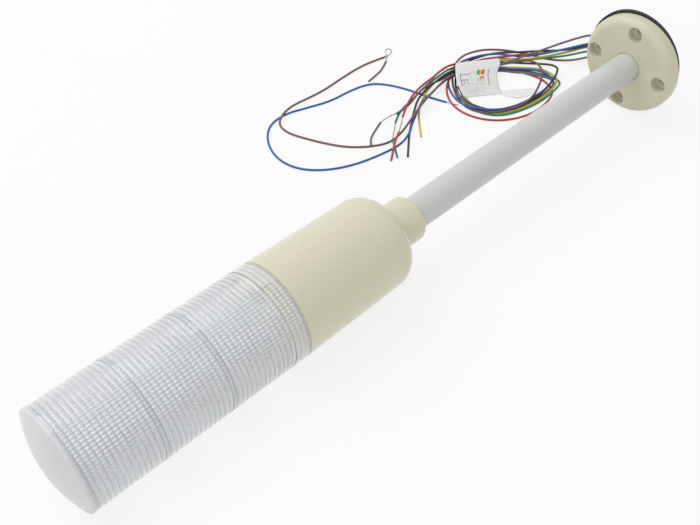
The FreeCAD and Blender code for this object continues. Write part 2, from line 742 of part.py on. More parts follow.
# Each route is a list of points, x and y in the light's frame and the height above the floor.
lead_starts = {
    "black": (0, 0), "grey": (1.75, 0), "blue": (0.88, 1.52), "brown": (-0.88, 1.52),
    "green": (-1.75, 0), "yellow": (-0.88, -1.52), "red": (0.88, -1.52),
}
lead_routes = {
    "grey": [(13, 0, 37.2), (25.5, 9, 33.2), (30, 29, 26), (28, 52, 20), (17, 62, 15.5),
             (4.2, 69.4, 12), (-9.4, 75.6, 8.8), (-20, 80, 8.4), (-27, 88.5, 7.4),
             (-31, 98, 5.5), (-38, 107, 4.4)],
    "blue": [(13, 1.7, 36.1), (23.8, 10.3, 32), (27, 29.2, 23.5), (23, 50.5, 15.2),
             (12, 61.5, 10), (1, 72.5, 7), (-10, 85, 4.9), (-20, 97, 4.8), (-28.5, 105, 5)],
    "black": [(13, 0, 35.1), (25, 9, 31), (29, 29, 22), (23.5, 51, 13.2), (12.5, 62, 8),
              (2.5, 73, 5.3), (-7, 86, 4.8), (-14.5, 100, 4.2), (-25, 109, 5)],
    "red": [(13, -1.7, 36.1), (26.2, 7.7, 32), (31, 29.5, 23), (25.5, 53, 12.8),
            (15.5, 64.5, 6.5), (5, 75, 3.4), (-7, 85.5, 2.8), (-17, 97, 2.9), (-23, 105, 3)],
    "yellow": [(13, -1.7, 34.1), (26.2, 7.7, 29.8), (31, 29, 21), (24.5, 52, 11),
               (13.5, 62.5, 5.5), (3, 73, 3), (-9, 83.5, 2.8), (-19.5, 94.5, 2.9),
               (-26, 101.5, 3)],
    "green": [(13, 0, 33.1), (25, 9, 28.8), (28.2, 28.5, 19.6), (21, 49, 10), (11, 60, 5),
              (1, 70.5, 3), (-11, 81, 2.7), (-22, 92, 2.9), (-29, 99, 3)],
    "brown": [(13, 1.7, 34.1), (23.8, 10.3, 29.8), (25.3, 27.5, 19.5), (16.6, 45.6, 8),
              (9.5, 57, 2.5), (1.5, 70, 0.9), (-3, 83, 0.9), (-9.5, 97, 0.9),
              (-18.5, 108, 1.2), (-30, 112, 2), (-39, 109.5, 2.6)],
}
tail_routes = {
    "grey": [(-62, 108.3, 4.5), (-77, 110.3, 4.5), (-91, 110.3, 4.7), (-109, 102.3, 4.7),
             (-119, 101.5, 3), (-128.5, 102.5, 1.6)],
    "blue": [(-62, 105.3, 4.5), (-77, 107.3, 4.5), (-91, 107.3, 4.7), (-111, 97.7, 4.7),
             (-119.5, 91.5, 3.7), (-129, 85, 3.1), (-139.5, 79, 2.5), (-151, 76.2, 0.9),
             (-168, 78, 0.9), (-188, 82.5, 0.9), (-206, 91.5, 0.9), (-218.5, 105, 0.9),
             (-222, 122, 0.9), (-216, 140, 0.9), (-203, 154, 0.9), (-186, 156.5, 0.9),
             (-170, 151, 0.9), (-152, 145, 0.9), (-133, 144.5, 0.9), (-116, 142, 0.9),
             (-107, 130, 0.9), (-102, 115, 0.9), (-99, 101, 0.9), (-98.5, 92, 0.9)],
    "black": [(-62, 106.8, 2.5), (-77, 108.8, 2.5), (-91, 108.8, 2.9), (-110, 100, 2.9),
              (-118.5, 94.5, 1.5), (-128, 87, 0.9), (-141.5, 77.5, 0.9), (-156.5, 64, 0.9)],
    "red": [(-62, 111.3, 4.5), (-77, 113.3, 4.5), (-91, 113.3, 4.7), (-108, 106.2, 4.7),
            (-120, 101, 4.9), (-128.5, 96.5, 4.4)],
    "yellow": [(-62, 103.8, 2.5), (-77, 105.8, 2.5), (-91, 105.8, 2.9), (-110, 96.7, 2.9),
               (-117, 91, 1.2), (-125.5, 83, 0.9), (-135.5, 72, 0.9)],
    "green": [(-62, 109.8, 2.5), (-77, 111.8, 2.5), (-91, 111.8, 2.9), (-109, 103.9, 2.9),
              (-121, 100, 1.1), (-130, 98.5, 0.9), (-137.5, 94.5, 0.9)],
    "brown": [(-62, 102.3, 4.5), (-77, 104.3, 4.5), (-91, 104.3, 4.7), (-112, 93.8, 5.2),
              (-121, 91, 5.8), (-132, 87, 5), (-142, 84, 2.2), (-154, 82.5, 0.9),
              (-167, 88.5, 0.9), (-179, 99, 0.9), (-188, 112, 0.9), (-196, 127, 0.9),
              (-201, 139.5, 0.9), (-199.5, 150, 1.7), (-190.5, 155, 3), (-178, 158, 3),
              (-162, 158.5, 1.2), (-146, 158, 0.9), (-127, 160, 0.9), (-109, 161, 0.9),
              (-95, 159.5, 0.9), (-83.5, 156.5, 1.2)],
}
strand_routes = [
    [(-128.5, 102.5, 1.6), (-136.5, 104, 1.2), (-143.5, 103, 0.9)],
    [(-137.5, 94.5, 0.9), (-143, 90, 1.9), (-152.5, 82.5, 2.9)],
    [(-128.5, 96.5, 4.4), (-135.5, 91, 4.6), (-144.5, 84.5, 4.4)],
    [(-83.5, 156.5, 1.2), (-78.5, 156.8, 1.4), (-75.5, 159.5, 1.7), (-77.5, 162.5, 2.3),
     (-81.5, 160.5, 3), (-85, 156, 2.9), (-88.5, 152.5, 1.2)],
    [(-98.5, 92, 0.9), (-97.8, 89.5, 0.9), (-96.3, 87, 0.9)],
]
slug_routes = {
    "grey": [(-143.5, 103, 0.9), (-155.5, 98, 1), (-163, 93.5, 1.8), (-167.5, 88, 2.8)],
    "green": [(-152.5, 82.5, 2.9), (-157.5, 75.5, 2.7), (-162.5, 68, 1.2)],
    "red": [(-144.5, 84.5, 4.4), (-152.5, 79.5, 4.8), (-161, 73.5, 4.4), (-168.5, 67.5, 2.4)],
    "brown": [(-88.5, 152.5, 1.2), (-98, 147, 0.9), (-108, 144.3, 1.6), (-117.5, 141.5, 2.8)],
}


def rounded_path(points):
    # Straight runs joined by tangent arcs as large as the runs either side allow.
    edges = []
    radii = []
    start = points[0]
    for before, corner, after in zip(points, points[1:], points[2:]):
        inward = (corner - before).normalize()
        outward = (after - corner).normalize()
        half_turn = inward.getAngle(outward) / 2
        setback = 0.45 * min((corner - before).Length, (after - corner).Length)
        radius = setback / math.tan(half_turn)
        first = corner - inward * setback
        last = corner + outward * setback
        bisector = (outward - inward).normalize()
        centre = corner + bisector * (radius / math.cos(half_turn))
        middle = centre - bisector * radius
        edges.append(Part.LineSegment(start, first).toShape())
        edges.append(Part.Arc(first, middle, last).toShape())
        radii.append(radius)
        start = last
    edges.append(Part.LineSegment(start, points[-1]).toShape())
    return Part.Wire(edges), radii


def swept(points, radius):
    # A round solid along a rounded path, with its volume compared with section times length.
    path, radii = rounded_path(points)
    section = Part.Circle(points[0], points[1] - points[0], radius)
    pipe = path.makePipeShell([Part.Wire(section.toShape())], True, False)
    wanted = math.pi * radius * radius * path.Length
    if abs(pipe.Volume / wanted - 1) > 0.02:
        raise RuntimeError(f"cord volume {pipe.Volume:.1f} against {wanted:.1f}")
    return pipe, radii, path.Length


def cord(label, points, radius):
    made = doc.addObject("Part::Feature", label)
    made.Label = label
    shape, radii, length = swept([Vector(*point) for point in points], radius)
    made.Shape = shape
    made.Placement = on_floor
    print(f"{label:22s} length {length:7.1f} smallest bend {min(radii):5.1f}")
    return made


def lead_start(name):
    # Where a lead leaves the bundle at the pole's foot, as a point above the floor.
    up, aside = lead_starts[name]
    start = lying.multVec(Vector(up, aside, bush_face.value))
    return (start.x, start.y, start.z - floor)


def wire_coil():
    # The loose loop of all the leads as one oval band.
    made = body("wire_coil", on_floor)
    profile = sketch_on(made, "XY_Plane", "Oval")
    for inset in (zero, dim.coil_band):
        oval(profile, inset)
    band = padded(made, profile, dim.coil_height)
    doc.recompute()
    rounded = made.newObject("PartDesign::Fillet", "Softened")
    rounded.Base = (band, curved_edges(band))
    bind(rounded, "Radius", dim.coil_round)
    return made


def oval(sketch, inset):
    # Four tangent arcs, set in from the loop's outer edge.
    side, end = dim.coil_side - inset, dim.coil_end - inset
    across = side * cosine(dim.coil_join)
    along = end * sine(dim.coil_join)
    right, left = dim.coil_x + across, dim.coil_x - across
    far, near = dim.coil_y + along, dim.coil_y - along
    outline(sketch, [(right, far, end, True), (left, far, side, True), (left, near, end, True),
                     (right, near, side, True)])


def curved_edges(feature):
    edges = feature.Shape.Edges
    return [f"Edge{number}" for number, edge in enumerate(edges, start=1)
            if edge.Curve.TypeId == "Part::GeomCircle"]


label_place = FreeCAD.Placement(Vector(dim.label_x.value, dim.label_y.value, floor),
                                FreeCAD.Rotation(Vector(0, 0, 1), dim.label_turn.value))
label_slope_start = -dim.label_fold
label_slope_end = label_slope_start - dim.label_slope
label_end = label_slope_end - dim.label_tail


def wire_label():
    # Paper flag folded over the loop's far side, its tail sloping down inside the loop.
    made = body("wire_label", label_place)
    fold, slope, tail = label_slope_start, label_slope_end, label_end
    top = dim.coil_height
    thick = dim.label_thickness
    profile = sketch_on(made, "YZ_Plane", "Fold", height=-dim.label_width / 2)
    outline(profile, [(zero, top), (zero, top + thick), (fold, top + thick),
                      (slope, dim.label_rest + thick), (tail, thick), (tail, zero),
                      (slope, dim.label_rest), (fold, top)])
    padded(made, profile, dim.label_width)
    return made


def label_film():
    # The label's clear laminate, reaching past the paper's lower corner along the floor.
    made = body("label_film", label_place)
    profile = sketch_on(made, "XY_Plane", "Strip")
    start = dim.label_width / 2
    stop = start + dim.film_length
    edge = label_end + dim.film_width
    outline(profile, [(start, label_end), (stop, label_end), (stop, edge), (start, edge)])
    padded(made, profile, dim.film_thickness)
    return made


top_cap()
for number, name in enumerate(tier_names):
    base = tier_bases[number]
    if number == 0:
        skirted_tier(f"lens_{name}", base)
    else:
        lens_tier(f"lens_{name}", base)
body_housing()
grub_screw("neck_grub_screw", neck_grub_height, neck_grub_turn)
lens_seal()
pole()
cable_bush()
flange()
grub_screw("flange_grub_screw", flange_grub_height, flange_grub_turn)
gasket()
chassis_plate()
chassis_screws()
stem_tube()
for number, name in enumerate(tier_names):
    low = board_bases[number]
    disc(f"led_board_{name}", stem_hole, dim.board_radius, low, dim.board_thickness)
    led_group(f"leds_{name}", low + dim.board_thickness)
    reflector(f"reflector_{name}", low + dim.board_thickness)
    if number > 0:
        disc(f"divider_{name}", stem_hole, dim.divider_radius, low - dim.divider_thickness,
             dim.divider_thickness)
stem_nut("stem_nut_upper", column_top)
stem_nut("stem_nut_lower", plate_seat - dim.nut_height)
driver_board()
terminal_block()
driver_parts()
inner_harness()
for name, route in lead_routes.items():
    cord(f"lead_{name}", [lead_start(name)] + route, dim.wire_radius.value)
wire_coil()
wire_label()
label_film()
for name, route in tail_routes.items():
    cord(f"tail_{name}", route, dim.wire_radius.value)
for name, route in slug_routes.items():
    cord(f"slug_{name}", route, dim.wire_radius.value)
strands = doc.addObject("Part::Feature", "bare_strands")
strands.Label = "bare_strands"
strands.Shape = Part.makeCompound([swept([Vector(*point) for point in route],
                                         dim.strand_radius.value)[0] for route in strand_routes])
strands.Placement = on_floor

# Every piece is checked before any is written.
doc.recompute()
pieces = [item for item in doc.Objects if item.TypeId == "PartDesign::Body"]
pieces += [item for item in doc.Objects if item.TypeId == "Part::Feature"]
faults = [item.Name for item in doc.Objects if {"Invalid", "Error"} & set(item.State)]
if faults:
    raise RuntimeError(f"failed features: {faults}")
for piece in pieces:
    if piece.Shape.isNull() or not piece.Shape.isValid():
        raise RuntimeError(f"bad shape: {piece.Label}")

os.makedirs("parts", exist_ok=True)
for piece in pieces:
    piece.Shape.exportStep(f"parts/{piece.Label}.step")
    shape = piece.Shape
    print(f"{piece.Label:22s} {len(shape.Solids)} solids {shape.Volume:12.2f} mm3")
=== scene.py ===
import bmesh
import bpy
import json
import math
from mathutils import Matrix, Vector


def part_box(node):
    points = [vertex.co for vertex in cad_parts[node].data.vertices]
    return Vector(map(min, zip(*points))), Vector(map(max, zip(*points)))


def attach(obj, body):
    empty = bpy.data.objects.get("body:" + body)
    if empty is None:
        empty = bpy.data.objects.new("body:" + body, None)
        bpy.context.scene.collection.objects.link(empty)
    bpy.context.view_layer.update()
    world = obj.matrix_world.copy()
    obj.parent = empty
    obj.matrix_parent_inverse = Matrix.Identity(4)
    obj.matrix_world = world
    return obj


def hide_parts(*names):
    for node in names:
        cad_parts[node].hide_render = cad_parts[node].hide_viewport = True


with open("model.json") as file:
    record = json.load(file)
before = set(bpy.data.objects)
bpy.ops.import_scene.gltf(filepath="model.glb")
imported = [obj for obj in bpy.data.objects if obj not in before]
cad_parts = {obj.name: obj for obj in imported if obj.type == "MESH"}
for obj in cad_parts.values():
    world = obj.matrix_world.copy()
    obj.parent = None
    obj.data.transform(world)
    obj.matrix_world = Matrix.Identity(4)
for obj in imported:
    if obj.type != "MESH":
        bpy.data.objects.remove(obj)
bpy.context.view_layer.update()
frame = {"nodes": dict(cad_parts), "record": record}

# A three-tier signal light lying on its side, with its leads in a loose coil beside it.
# Metres. The light's own pieces are drawn upright about its axis, as the solids are, with
# heights from the flange's underside, and layDown lays them on the floor.

nodes = frame["nodes"]
scene = bpy.context.scene
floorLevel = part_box("wire_coil")[0].z
lean = 0.6278  # degrees, the dome end lower
layDown = Matrix.Rotation(math.radians(-90 - lean), 4, "Y")
millimetres = 1000  # in a metre
sharpAngle = 40  # degrees, past which two faces meet in a crisp edge

camera = {
    "place": (-0.5354, -0.2773, 0.3909),
    "forward": (0.4787, 0.5025, -0.7200),
    "lens": 50.384,
    "sensor": 36.0,
    "nearest": 0.01,
}


def makeCamera():
    data = bpy.data.cameras.new("viewer")
    data.sensor_width = camera["sensor"]
    data.lens = camera["lens"]
    data.clip_start = camera["nearest"]
    viewer = bpy.data.objects.new("viewer", data)
    viewer.location = camera["place"]
    viewer.rotation_euler = Vector(camera["forward"]).to_track_quat("-Z", "Y").to_euler()
    scene.collection.objects.link(viewer)
    scene.camera = viewer


makeCamera()
print("camera set")


def newObject(name, data, body="base"):
    made = bpy.data.objects.new(name, data)
    scene.collection.objects.link(made)
    if body:
        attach(made, body)
    return made


def fillMesh(data, work):
    # Moves a bmesh into a mesh, smooth apart from its crisp edges.
    bmesh.ops.recalc_face_normals(work, faces=work.faces)
    work.to_mesh(data)
    work.free()
    data.shade_smooth()
    data.set_sharp_from_angle(angle=math.radians(sharpAngle))


def finishMesh(name, work, body="base"):
    data = bpy.data.meshes.new(name)
    fillMesh(data, work)
    return newObject(name, data, body)


def gridFaces(work, rows, wrapRows=False, wrapAcross=True):
    # Quads between rows of vertices.
    rowPairs = list(zip(rows, rows[1:] + rows[:1])) if wrapRows else list(zip(rows, rows[1:]))
    for low, high in rowPairs:
        count = len(low) if wrapAcross else len(low) - 1
        for k in range(count):
            after = (k + 1) % len(low)
            work.faces.new((low[k], low[after], high[after], high[k]))


def capEnds(work, rows):
    # Closes a tube of rows at its first and last.
    work.faces.new(rows[0][::-1])
    work.faces.new(rows[-1])


def turnedPoint(reach, turn, height):
    # A point about the light's axis, laid down with it.
    return layDown @ Vector((reach * math.cos(turn), reach * math.sin(turn), height))


def turnedPiece(name, profile, segments, body, fluting):
    # A closed profile of (radius, height, share of flute) turned about the light's axis.
    work = bmesh.new()
    rows = []
    for radius, height, share in profile:
        row = []
        for k in range(segments):
            reach = radius + (share * fluting(k) if share else 0)
            row.append(work.verts.new(turnedPoint(reach, 2 * math.pi * k / segments, height)))
        rows.append(row)
    gridFaces(work, rows, wrapRows=True)
    return finishMesh(name, work, body)


def splinePoints(points, steps):
    # The points that a smooth open spline of these control points runs through.
    guide = splineObject("guide", points, 0, steps)
    mesh = bpy.data.meshes.new_from_object(guide)
    run = [vertex.co.copy() for vertex in mesh.vertices]
    bpy.data.meshes.remove(mesh)
    data = guide.data
    bpy.data.objects.remove(guide)
    bpy.data.curves.remove(data)
    return run


def splineObject(name, points, radius, steps):
    # An open spline. The points' own radius gives its thickness, and 0 leaves a bare line.
    data = bpy.data.curves.new(name, "CURVE")
    data.dimensions = "3D"
    data.bevel_depth = 1 if radius else 0
    data.bevel_resolution = 5
    data.resolution_u = steps
    data.use_fill_caps = True
    spline = data.splines.new("NURBS")
    spline.points.add(len(points) - 1)
    for point, place in zip(spline.points, points):
        point.co = (*place, 1)
        point.radius = radius
    spline.order_u = 3
    spline.use_endpoint_u = True
    made = bpy.data.objects.new(name, data)
    scene.collection.objects.link(made)
    return made


def runLength(run):
    return sum((after - before).length for before, after in zip(run, run[1:]))


def aboveFloor(points):
    return [Vector((x, y, floorLevel + height)) for x, y, height in points]


def carriedFrames(run):
    # Two directions across a run at each of its points, carried along it without twist.
    frames = []
    side = None
    for number in range(len(run)):
        ahead = run[min(number + 1, len(run) - 1)] - run[max(number - 1, 0)]
        ahead.normalize()
        if side is None:
            side = ahead.orthogonal().normalized()
        side = (side - ahead * side.dot(ahead)).normalized()
        frames.append((side, ahead.cross(side)))
    return frames


def tubeRows(work, run, radius, sides, ends=0.0):
    # A closed tube along a run of points, its two ends narrowed a little.
    rows = []
    last = len(run) - 1
    for number, (point, (side, up)) in enumerate(zip(run, carriedFrames(run))):
        size = radius * (1 - ends) if number in (0, last) else radius
        row = []
        for k in range(sides):
            turn = 2 * math.pi * k / sides
            row.append(work.verts.new(point + (side * math.cos(turn) + up * math.sin(turn)) * size))
        rows.append(row)
    gridFaces(work, rows)
    capEnds(work, rows)


# Each lead comes out of the pole's foot, goes once round the loose coil and ends in its tail.
# leadStarts: how far up and aside of the bore's middle each one comes out.
# lead and tail: points with their height above the floor. reach: millimetres from the coil's
# centre, a coil step of degrees apart from its start. layer: how many leads it lies on there.
leadStarts = {
    "black": (0, 0), "grey": (0.00175, 0), "blue": (0.00088, 0.00152),
    "brown": (-0.00088, 0.00152), "green": (-0.00175, 0), "yellow": (-0.00088, -0.00152),
    "red": (0.00088, -0.00152),
}
coil = {"centre": (-0.049, 0.077), "start": 60, "step": 20, "lowest": 0.00085, "layer": 0.00165}
leadRoutes = {
    "brown": {
        "lead": [
            (0.013, 0.0017, 0.0341), (0.0238, 0.0103, 0.0298), (0.0253, 0.0275, 0.0195),
            (0.0166, 0.0456, 0.008), (0.0095, 0.057, 0.0025), (0.0015, 0.07, 0.0009),
            (-0.004, 0.086, 0.0009), (-0.01, 0.097, 0.0009), (-0.017, 0.1065, 0.0009)],
        "reach": [43.5, 42, 37.5, 33.5, 33, 34.5, 38, 40.5, 37, 33.5,
                  31.5, 30, 29.5, 32.5, 37.5, 38.5, 26, 21.5, 21, 22.5],
        "layer": [0, 0, 0, 0, 0, 0, 0, 0.5, 1, 1, 1, 1.5, 1, 1.5, 2, 1.5, 1, 0.5, 0, 0],
        "tail": [
            (-0.07, 0.103, 0.0052), (-0.0775, 0.1025, 0.0052), (-0.086, 0.101, 0.005),
            (-0.095, 0.0985, 0.005), (-0.103, 0.0965, 0.0052), (-0.112, 0.0935, 0.0056),
            (-0.119, 0.091, 0.0058), (-0.1275, 0.088, 0.005), (-0.1345, 0.086, 0.0036),
            (-0.142, 0.084, 0.0022), (-0.154, 0.0825, 0.0009), (-0.167, 0.0885, 0.0009),
            (-0.179, 0.099, 0.0009), (-0.187, 0.112, 0.0009), (-0.194, 0.127, 0.0009),
            (-0.1985, 0.1395, 0.0009), (-0.1975, 0.1495, 0.0017), (-0.1895, 0.155, 0.003),
            (-0.178, 0.158, 0.003), (-0.162, 0.1585, 0.0012), (-0.146, 0.158, 0.0009),
            (-0.127, 0.16, 0.0009), (-0.109, 0.161, 0.0009), (-0.095, 0.1595, 0.0009),
            (-0.0835, 0.1565, 0.0012)]},
    "black": {
        "lead": [
            (0.013, 0, 0.0351), (0.025, 0.009, 0.031), (0.029, 0.029, 0.022), (0.0235, 0.051, 0.0132),
            (0.0125, 0.062, 0.008), (0.002, 0.077, 0.0052), (-0.0085, 0.0915, 0.0016),
            (-0.0145, 0.0985, 0.0009), (-0.022, 0.104, 0.0009)],
        "reach": [35.5, 34, 32.5, 31, 31, 33, 35, 35.5, 33.5, 31,
                  30.5, 32.5, 36, 43, 52, 34.5, 29, 26.5, 24.5, 25.5],
        "layer": [0, 0, 0, 0, 0, 0, 1, 1, 0, 0, 0, 1, 2, 2.5, 1, 0.5, 0, 0, 0, 0.5],
        "tail": [
            (-0.066, 0.106, 0.005), (-0.0725, 0.1065, 0.0054), (-0.0805, 0.106, 0.005),
            (-0.088, 0.1055, 0.0046), (-0.0945, 0.105, 0.0042), (-0.102, 0.1035, 0.0034),
            (-0.109, 0.101, 0.0022), (-0.117, 0.096, 0.0009), (-0.124, 0.091, 0.0009),
            (-0.1355, 0.0825, 0.0009), (-0.1455, 0.074, 0.0009), (-0.1565, 0.064, 0.0009)]},
    "blue": {
        "lead": [
            (0.013, 0.0017, 0.0361), (0.0238, 0.0103, 0.032), (0.027, 0.0292, 0.0235),
            (0.023, 0.0505, 0.0152), (0.012, 0.0615, 0.01), (-0.001, 0.0755, 0.0042),
            (-0.0095, 0.085, 0.0013), (-0.0155, 0.094, 0.001), (-0.022, 0.101, 0.002)],
        "reach": [34.5, 35.5, 35.5, 36, 36.5, 37.5, 40, 39, 35.5, 31.5,
                  30, 30, 35, 42, 35.5, 22, 18, 16.5, 16, 17.5],
        "layer": [1, 0.5, 1, 0.5, 0, 0.5, 1, 2, 1.5, 1, 1, 0.5, 1, 1.5, 1, 1, 1, 1, 1, 1.5],
        "tail": [
            (-0.07, 0.1035, 0.0038), (-0.0775, 0.103, 0.0036), (-0.0855, 0.102, 0.0033),
            (-0.0945, 0.1, 0.0032), (-0.103, 0.0985, 0.0034), (-0.1095, 0.0965, 0.0037),
            (-0.117, 0.0925, 0.0037), (-0.1235, 0.089, 0.0027), (-0.13, 0.0855, 0.0026),
            (-0.1395, 0.079, 0.0025), (-0.151, 0.0762, 0.0009), (-0.168, 0.078, 0.0009),
            (-0.188, 0.0825, 0.0009), (-0.206, 0.0915, 0.0009), (-0.2185, 0.105, 0.0009),
            (-0.222, 0.122, 0.0009), (-0.216, 0.14, 0.0009), (-0.203, 0.154, 0.0009),
            (-0.186, 0.1565, 0.0009), (-0.17, 0.151, 0.0009), (-0.152, 0.145, 0.0009),
            (-0.133, 0.1445, 0.0009), (-0.117, 0.141, 0.0009), (-0.1085, 0.131, 0.0009),
            (-0.103, 0.119, 0.0009), (-0.0995, 0.107, 0.0009), (-0.097, 0.097, 0.0009),
            (-0.093, 0.087, 0.0009)]},
    "red": {
        "lead": [
            (0.013, -0.0017, 0.0361), (0.0262, 0.0077, 0.032), (0.031, 0.0295, 0.023),
            (0.0255, 0.053, 0.0128), (0.0155, 0.0645, 0.0065), (0.003, 0.074, 0.004),
            (-0.0105, 0.086, 0.0034), (-0.017, 0.091, 0.0026), (-0.024, 0.097, 0.0018)],
        "reach": [31.5, 31, 30, 33, 37.5, 41.5, 45, 46, 45, 43,
                  41.5, 40.5, 41.5, 36, 27.5, 21.5, 18.5, 17.5, 19, 25],
        "layer": [0, 0, 0.5, 1, 1, 0, 0, 0, 0, 0, 0, 0, 0, 0, 0, 0, 0, 0, 2, 3],
        "tail": [
            (-0.06, 0.1105, 0.006), (-0.067, 0.112, 0.006), (-0.075, 0.1115, 0.0057),
            (-0.084, 0.11, 0.0054), (-0.094, 0.109, 0.0056), (-0.104, 0.107, 0.0056),
            (-0.114, 0.1035, 0.0052), (-0.1235, 0.0985, 0.0048), (-0.1315, 0.0935, 0.0044)]},
    "green": {
        "lead": [
            (0.013, 0, 0.0331), (0.025, 0.009, 0.0288), (0.0282, 0.0285, 0.0196), (0.021, 0.049, 0.01),
            (0.011, 0.06, 0.005), (0.0005, 0.0705, 0.0026), (-0.01, 0.081, 0.001),
            (-0.017, 0.0885, 0.0009), (-0.0255, 0.095, 0.0022)],
        "reach": [27, 25.5, 25.5, 27, 28.5, 30, 34, 39, 39.5, 36.5,
                  35, 36.5, 41.5, 48.5, 33, 23.5, 20.5, 19, 19.5, 23.5],
        "layer": [1, 0, 0, 0, 0, 0, 0, 0, 0, 0, 0, 0, 1, 0, 0, 0, 0, 0, 1, 2.5],
        "tail": [
            (-0.0615, 0.108, 0.0052), (-0.0685, 0.1095, 0.0054), (-0.0765, 0.109, 0.0048),
            (-0.084, 0.1095, 0.0036), (-0.0915, 0.109, 0.0028), (-0.0995, 0.1075, 0.0025),
            (-0.1085, 0.1055, 0.0015), (-0.115, 0.105, 0.0009), (-0.1225, 0.103, 0.0009),
            (-0.1295, 0.1, 0.0009), (-0.1365, 0.0955, 0.0009)]},
    "yellow": {
        "lead": [
            (0.013, -0.0017, 0.0341), (0.0262, 0.0077, 0.0298), (0.031, 0.029, 0.021),
            (0.0245, 0.052, 0.011), (0.0135, 0.0625, 0.0055), (0.001, 0.071, 0.0038),
            (-0.0115, 0.08, 0.0026), (-0.0195, 0.087, 0.0022), (-0.0275, 0.0935, 0.0025)],
        "reach": [25, 23.5, 23.5, 25, 26.5, 28, 32, 37, 37.5, 34.5,
                  33.5, 34.5, 39.5, 45.5, 39, 25, 19.5, 18, 17.5, 20.5],
        "layer": [1, 0, 0, 0, 0, 0, 0, 0, 0, 0, 0, 0, 1, 1, 1, 1, 1, 1, 1, 2],
        "tail": [
            (-0.061, 0.1075, 0.0038), (-0.069, 0.108, 0.004), (-0.077, 0.108, 0.0032),
            (-0.0855, 0.1075, 0.0024), (-0.095, 0.1045, 0.0025), (-0.1025, 0.101, 0.0022),
            (-0.11, 0.097, 0.001), (-0.1165, 0.092, 0.0009), (-0.1245, 0.084, 0.0009),
            (-0.1345, 0.0725, 0.0009)]},
    "grey": {
        "lead": [
            (0.013, 0, 0.0372), (0.0255, 0.009, 0.0332), (0.03, 0.029, 0.026), (0.028, 0.052, 0.02),
            (0.017, 0.062, 0.0155), (0.004, 0.0695, 0.012), (-0.007, 0.076, 0.0086),
            (-0.017, 0.0815, 0.0066), (-0.026, 0.0835, 0.006), (-0.034, 0.0865, 0.0056)],
        "reach": [15, 15.5, 18.5, 22, 28, 34, 37, 37.5, 35.5, 33,
                  32, 33, 37.5, 44, 26, 19.5, 17, 15.5, 16, 19],
        "layer": [2.5, 2, 1, 1, 1, 1, 1, 1, 0, 0, 0, 0, 1, 0.5, 1, 0, 0, 0, 0, 1],
        "tail": [
            (-0.062, 0.1055, 0.0038), (-0.07, 0.106, 0.004), (-0.078, 0.106, 0.0032),
            (-0.085, 0.107, 0.0036), (-0.0915, 0.107, 0.0042), (-0.0985, 0.1065, 0.0044),
            (-0.1065, 0.1045, 0.004), (-0.116, 0.1015, 0.0034), (-0.1235, 0.1005, 0.0028),
            (-0.13, 0.101, 0.0025)]},
}
lead = {"radius": 0.0008, "mouth": -0.0002, "steps": 12}


def coilTurn(route):
    # The loose turn as points about the coil's centre.
    x, y = coil["centre"]
    points = []
    for number, (reach, layer) in enumerate(zip(route["reach"], route["layer"])):
        turn = math.radians(coil["start"] + coil["step"] * number)
        out = reach / millimetres
        points.append((x + out * math.cos(turn), y + out * math.sin(turn),
                       coil["lowest"] + coil["layer"] * layer))
    return points


def leadPoints(name):
    route = leadRoutes[name]
    up, aside = leadStarts[name]
    start = layDown @ Vector((up, aside, lead["mouth"]))
    return [start] + aboveFloor(route["lead"] + coilTurn(route) + route["tail"])


def makeLead(name):
    points = leadPoints(name)
    made = splineObject(f"{name}Lead", points, lead["radius"], lead["steps"])
    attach(made, "base")
    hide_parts(f"lead_{name}", f"tail_{name}", "wire_coil")
    return made, points[0], runLength(splinePoints(points, lead["steps"]))


leads = {leadName: makeLead(leadName) for leadName in leadRoutes}
print("leads laid")


# Where insulation has been pulled off: twisted strands, and the slug still hanging on them.
strands = {"radius": 0.00015, "count": 7, "lay": 0.00031, "twist": 0.0055, "sides": 6,
           "steps": 16}
strandRoutes = {
    "grey": [(-0.13, 0.101, 0.0025), (-0.1365, 0.104, 0.0018), (-0.1435, 0.103, 0.0009)],
    "green": [(-0.1365, 0.0955, 0.0009), (-0.143, 0.09, 0.0019), (-0.1525, 0.0825, 0.0029)],
    "red": [(-0.1315, 0.0935, 0.0044), (-0.1385, 0.088, 0.0043), (-0.145, 0.084, 0.0041)],
    "brown": [(-0.0835, 0.1565, 0.0012), (-0.0785, 0.1568, 0.0014), (-0.0755, 0.1595, 0.0017),
              (-0.0775, 0.1625, 0.0023), (-0.0815, 0.1605, 0.003), (-0.085, 0.156, 0.0029),
              (-0.0885, 0.1525, 0.0012)],
    "blue": [(-0.093, 0.087, 0.0009), (-0.0915, 0.083, 0.0009), (-0.0895, 0.079, 0.0009)],
}
slug = {"radius": 0.0008, "sides": 20, "ends": 0.12, "steps": 12}
slugRoutes = {
    "grey": [(-0.1435, 0.103, 0.0009), (-0.1555, 0.098, 0.001), (-0.163, 0.0935, 0.0018),
             (-0.1675, 0.088, 0.0028)],
    "green": [(-0.1525, 0.0825, 0.0029), (-0.1575, 0.0755, 0.0027), (-0.1625, 0.068, 0.0012)],
    "red": [(-0.145, 0.084, 0.0041), (-0.1535, 0.079, 0.0045), (-0.161, 0.0735, 0.0035),
            (-0.168, 0.0685, 0.0012)],
    "brown": [(-0.0885, 0.1525, 0.0012), (-0.098, 0.147, 0.0009), (-0.108, 0.1443, 0.0016),
              (-0.1175, 0.1415, 0.0028)],
}


